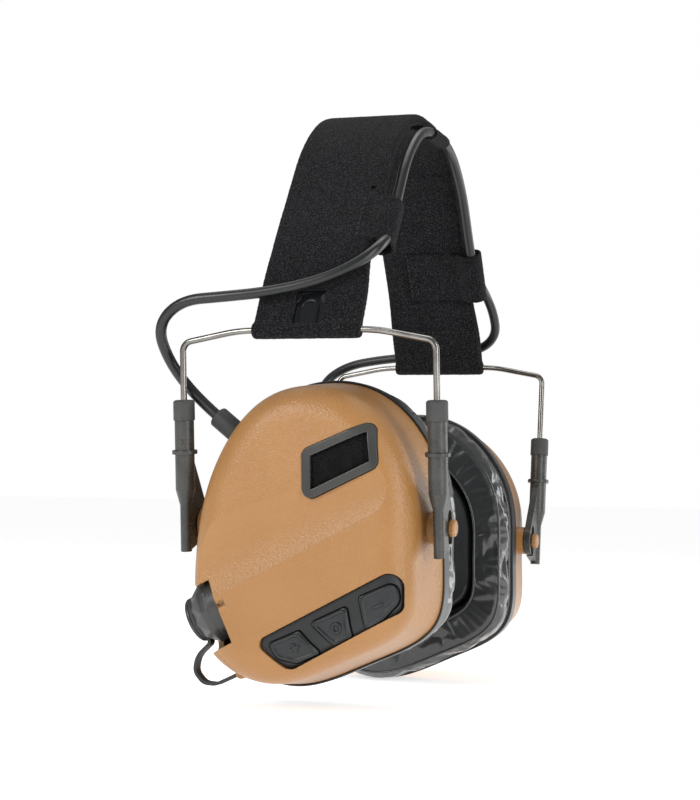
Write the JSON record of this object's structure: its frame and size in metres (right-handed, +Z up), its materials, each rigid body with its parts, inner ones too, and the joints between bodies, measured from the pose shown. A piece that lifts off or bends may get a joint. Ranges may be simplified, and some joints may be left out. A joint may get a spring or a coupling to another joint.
{
  "type": "ear defender",
  "caption": "Electronic ear-muff hearing protector: padded strap headband, sprung wire yokes, sliding arms, tilting cups with soft cushions and a linking lead.",
  "frame": {"origin": "midway between the two ear cushions at ear height, where the wearer's head sits", "axes": "+X towards the wearer's left, -Y the way the wearer faces, +Z up"},
  "size_m": [0.1896, 0.1167, 0.2398],
  "materials": {
    "fleece": "brushed pile",
    "spring_steel": "satin",
    "clip_steel": "gloss black lacquer",
    "pad_foam": "foam",
    "lead_rubber": "satin",
    "wire_steel": "bright drawn wire",
    "arm_plastic": "fine grain",
    "grip_rubber": "matt",
    "cup_plastic": "fine grain, tan",
    "base_plastic": "satin",
    "screw_steel": "zinc plated",
    "cushion_skin": "smooth gloss skin over foam",
    "speaker_metal": "satin",
    "board": "solder mask",
    "bezel_plastic": "satin",
    "wind_foam": "open cell",
    "capsule_metal": "satin",
    "keypad_silicone": "matt",
    "cell_can": "printed sleeve",
    "contact_brass": "nickel plated"
  },
  "bodies": {
    "headband": {"spring_strip": "spring_steel", "strip_rivets": "spring_steel", "right_wire_clip": "clip_steel", "left_wire_clip": "clip_steel", "strap_cover": "fleece", "band_pad": "pad_foam", "right_lead_wrap": "fleece", "left_lead_wrap": "fleece", "crest_lead_wrap": "fleece", "lead": "lead_rubber"},
    "right_yoke": {"right_wire_yoke": "wire_steel"},
    "left_yoke": {"left_wire_yoke": "wire_steel"},
    "right_arms": {"right_front_arm": "arm_plastic", "right_rear_arm": "arm_plastic", "right_grip_caps": "grip_rubber"},
    "left_arms": {"left_front_arm": "arm_plastic", "left_rear_arm": "arm_plastic", "left_grip_caps": "grip_rubber"},
    "right_cup": {"right_cup_cover": "cup_plastic", "right_cup_base": "base_plastic", "right_cover_screws": "screw_steel", "right_cushion_plate": "base_plastic", "right_cushion": "cushion_skin", "right_ear_foam": "pad_foam", "right_speaker": "speaker_metal", "right_circuit_board": "board", "right_mic_bezel": "bezel_plastic", "right_mic_foam": "wind_foam", "right_mic_capsule": "capsule_metal", "right_pivot_pins": "cup_plastic", "right_lead_gland": "lead_rubber", "keypad": "keypad_silicone", "key_board": "board", "battery_holder": "base_plastic", "batteries": "cell_can", "battery_contacts": "contact_brass", "cap_tether": "lead_rubber"},
    "left_cup": {"left_cup_cover": "cup_plastic", "left_cup_base": "base_plastic", "left_cover_screws": "screw_steel", "left_cushion_plate": "base_plastic", "left_cushion": "cushion_skin", "left_ear_foam": "pad_foam", "left_speaker": "speaker_metal", "left_circuit_board": "board", "left_mic_bezel": "bezel_plastic", "left_mic_foam": "wind_foam", "left_mic_capsule": "capsule_metal", "left_pivot_pins": "cup_plastic", "left_lead_gland": "lead_rubber"},
    "plus_button": {"plus_key": "keypad_silicone"},
    "mode_button": {"mode_key": "keypad_silicone"},
    "minus_button": {"minus_key": "keypad_silicone"},
    "battery_door": {"battery_cap": "base_plastic", "cap_seal": "lead_rubber"}
  },
  "joints": [
    {"name": "right_fold", "type": "hinge", "parent": "headband", "child": "right_yoke", "pos_m": [-0.0881, 0, 0.0744], "axis": [0, 1, 0], "range_deg": [-35, 0], "deforming": ["lead"]},
    {"name": "left_fold", "type": "hinge", "parent": "headband", "child": "left_yoke", "pos_m": [0.0881, 0, 0.0744], "axis": [0, 1, 0], "range_deg": [0, 35], "deforming": ["lead"]},
    {"name": "right_height", "type": "slide", "parent": "right_yoke", "child": "right_arms", "axis": [0.1196, 0, -0.9928], "range_m": [-0.0091, 0.0229], "deforming": ["lead"]},
    {"name": "left_height", "type": "slide", "parent": "left_yoke", "child": "left_arms", "axis": [0.1196, 0, 0.9928], "range_m": [-0.0153, 0.0167], "deforming": ["lead"]},
    {"name": "right_tilt", "type": "hinge", "parent": "right_arms", "child": "right_cup", "pos_m": [-0.06837, 0, 0.00234], "axis": [0, 1, 0], "range_deg": [-12, 12], "deforming": ["lead"]},
    {"name": "left_tilt", "type": "hinge", "parent": "left_arms", "child": "left_cup", "pos_m": [0.06746, 0, -0.00521], "axis": [0, -1, 0], "range_deg": [-12, 12], "deforming": ["lead"]},
    {"name": "plus_press", "type": "slide", "parent": "right_cup", "child": "plus_button", "axis": [1, 0, 0], "range_m": [0, 0.0008], "stiffness_N_per_m": 1200, "springref_m": -0.0008},
    {"name": "mode_press", "type": "slide", "parent": "right_cup", "child": "mode_button", "axis": [1, 0, 0], "range_m": [0, 0.0008], "stiffness_N_per_m": 1200, "springref_m": -0.0008},
    {"name": "minus_press", "type": "slide", "parent": "right_cup", "child": "minus_button", "axis": [1, 0, 0], "range_m": [0, 0.0008], "stiffness_N_per_m": 1200, "springref_m": -0.0008},
    {"name": "battery_cap_turn", "type": "hinge", "parent": "right_cup", "child": "battery_door", "pos_m": [-0.07997, 0.0356, -0.02986], "axis": [0, 0.8988, -0.4384], "range_deg": [0, 90]}
  ]
}
